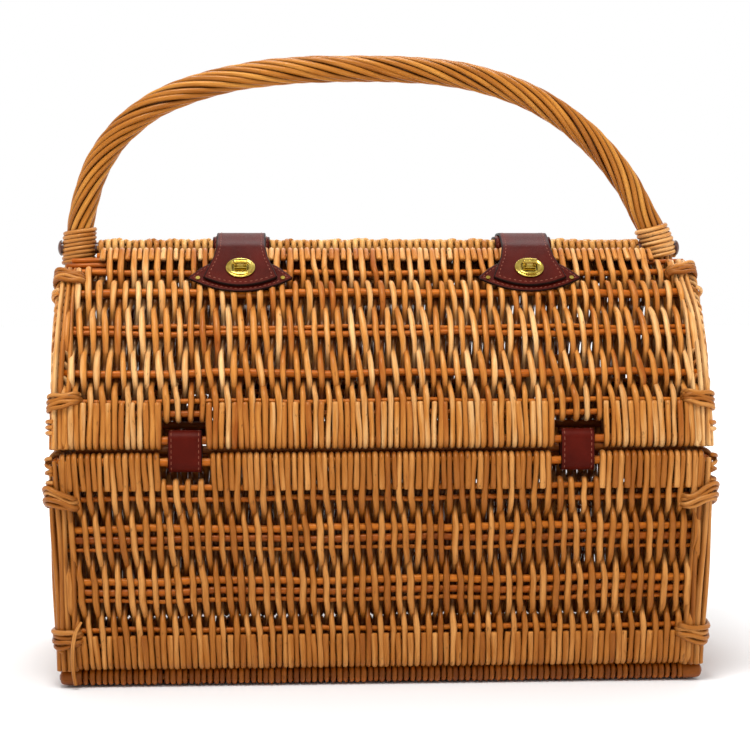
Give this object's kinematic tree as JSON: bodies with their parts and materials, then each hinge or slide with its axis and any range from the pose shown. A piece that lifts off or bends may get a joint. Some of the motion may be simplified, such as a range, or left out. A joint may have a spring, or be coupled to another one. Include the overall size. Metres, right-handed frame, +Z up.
{
  "type": "picnic basket",
  "caption": "Barrel-top woven willow picnic basket with outward-opening half lids, leather hinge loops and straps with brass turn locks, and a fixed twisted bow handle.",
  "frame": {"origin": "centre of the overall box at the underside of the foot border, where the basket stands", "axes": "+X along the long side to the right as seen from the front, -Y out of the front, +Z up"},
  "size_m": [0.4977, 0.2338, 0.4748],
  "materials": {
    "willow_weave": "varnished",
    "willow_stake": "varnished",
    "willow_honey": "varnished",
    "stained_wood": "varnished",
    "leather": "semi-gloss",
    "brass": "polished"
  },
  "bodies": {
    "basket": {"base_border": "willow_weave", "base_panel": "willow_weave", "front_wall": "willow_weave", "back_wall": "willow_weave", "left_end_wall": "willow_weave", "right_end_wall": "willow_weave", "corner_post_front_left": "willow_stake", "corner_post_front_right": "willow_stake", "corner_post_back_left": "willow_stake", "corner_post_back_right": "willow_stake", "tub_corner_ties": "willow_honey", "front_rim_rod": "willow_stake", "back_rim_rod": "willow_stake", "handle_bow": "willow_honey", "foot_binding_left": "willow_honey", "foot_binding_right": "willow_honey", "spine_bar": "willow_weave", "spine_dowel": "stained_wood", "strap_sleeve_left": "leather", "strap_sleeve_right": "leather", "hinge_loop_front_left": "leather", "hinge_loop_front_right": "leather", "hinge_loop_back_left": "leather", "hinge_loop_back_right": "leather"},
    "front_lid": {"front_lid_panel": "willow_weave", "front_lid_end_left": "willow_weave", "front_lid_end_right": "willow_weave", "front_lid_post_left": "willow_stake", "front_lid_post_right": "willow_stake", "front_lid_ties": "willow_honey", "front_lid_rim_rod": "willow_stake", "front_pad_left": "leather", "front_pad_right": "leather", "front_pad_rivets": "brass", "front_lock_bases": "brass"},
    "back_lid": {"back_lid_panel": "willow_weave", "back_lid_end_left": "willow_weave", "back_lid_end_right": "willow_weave", "back_lid_post_left": "willow_stake", "back_lid_post_right": "willow_stake", "back_lid_ties": "willow_honey", "back_lid_rim_rod": "willow_stake", "back_pad_left": "leather", "back_pad_right": "leather", "back_pad_rivets": "brass", "back_lock_bases": "brass"},
    "front_strap_left": {"front_strap_left": "leather", "front_eyelet_left": "brass"},
    "front_knob_left": {"front_knob_left": "brass"},
    "front_strap_right": {"front_strap_right": "leather", "front_eyelet_right": "brass"},
    "front_knob_right": {"front_knob_right": "brass"},
    "back_strap_left": {"back_strap_left": "leather", "back_eyelet_left": "brass"},
    "back_knob_left": {"back_knob_left": "brass"},
    "back_strap_right": {"back_strap_right": "leather", "back_eyelet_right": "brass"},
    "back_knob_right": {"back_knob_right": "brass"}
  },
  "joints": [
    {"name": "front_lid_hinge", "type": "hinge", "parent": "basket", "child": "front_lid", "pos_m": [0, -0.1155, 0.17625], "axis": [1, 0, 0], "range_deg": [0, 175], "deforming": ["hinge_loop_front_left", "hinge_loop_front_right", "front_strap_left", "front_strap_right", "front_eyelet_left", "front_eyelet_right"]},
    {"name": "back_lid_hinge", "type": "hinge", "parent": "basket", "child": "back_lid", "pos_m": [0, 0.1155, 0.17625], "axis": [-1, 0, 0], "range_deg": [0, 175], "deforming": ["hinge_loop_back_left", "hinge_loop_back_right", "back_strap_left", "back_strap_right", "back_eyelet_left", "back_eyelet_right"]},
    {"name": "front_strap_left_lift", "type": "hinge", "parent": "basket", "child": "front_strap_left", "pos_m": [-0.106, -0.013, 0.33455], "axis": [-1, 0, 0], "range_deg": [0, 100]},
    {"name": "front_strap_right_lift", "type": "hinge", "parent": "basket", "child": "front_strap_right", "pos_m": [0.114, -0.013, 0.33455], "axis": [-1, 0, 0], "range_deg": [0, 100]},
    {"name": "back_strap_left_lift", "type": "hinge", "parent": "basket", "child": "back_strap_left", "pos_m": [-0.106, 0.013, 0.33455], "axis": [1, 0, 0], "range_deg": [0, 100]},
    {"name": "back_strap_right_lift", "type": "hinge", "parent": "basket", "child": "back_strap_right", "pos_m": [0.114, 0.013, 0.33455], "axis": [1, 0, 0], "range_deg": [0, 100]},
    {"name": "front_knob_left_turn", "type": "hinge", "parent": "front_lid", "child": "front_knob_left", "pos_m": [-0.106, -0.04967, 0.30572], "axis": [0, -0.6947, 0.7193], "range_deg": [0, 90]},
    {"name": "front_knob_right_turn", "type": "hinge", "parent": "front_lid", "child": "front_knob_right", "pos_m": [0.114, -0.04967, 0.30572], "axis": [0, -0.6947, 0.7193], "range_deg": [0, 90]},
    {"name": "back_knob_left_turn", "type": "hinge", "parent": "back_lid", "child": "back_knob_left", "pos_m": [-0.106, 0.04967, 0.30572], "axis": [0, 0.6947, 0.7193], "range_deg": [0, 90]},
    {"name": "back_knob_right_turn", "type": "hinge", "parent": "back_lid", "child": "back_knob_right", "pos_m": [0.114, 0.04967, 0.30572], "axis": [0, 0.6947, 0.7193], "range_deg": [0, 90]}
  ]
}
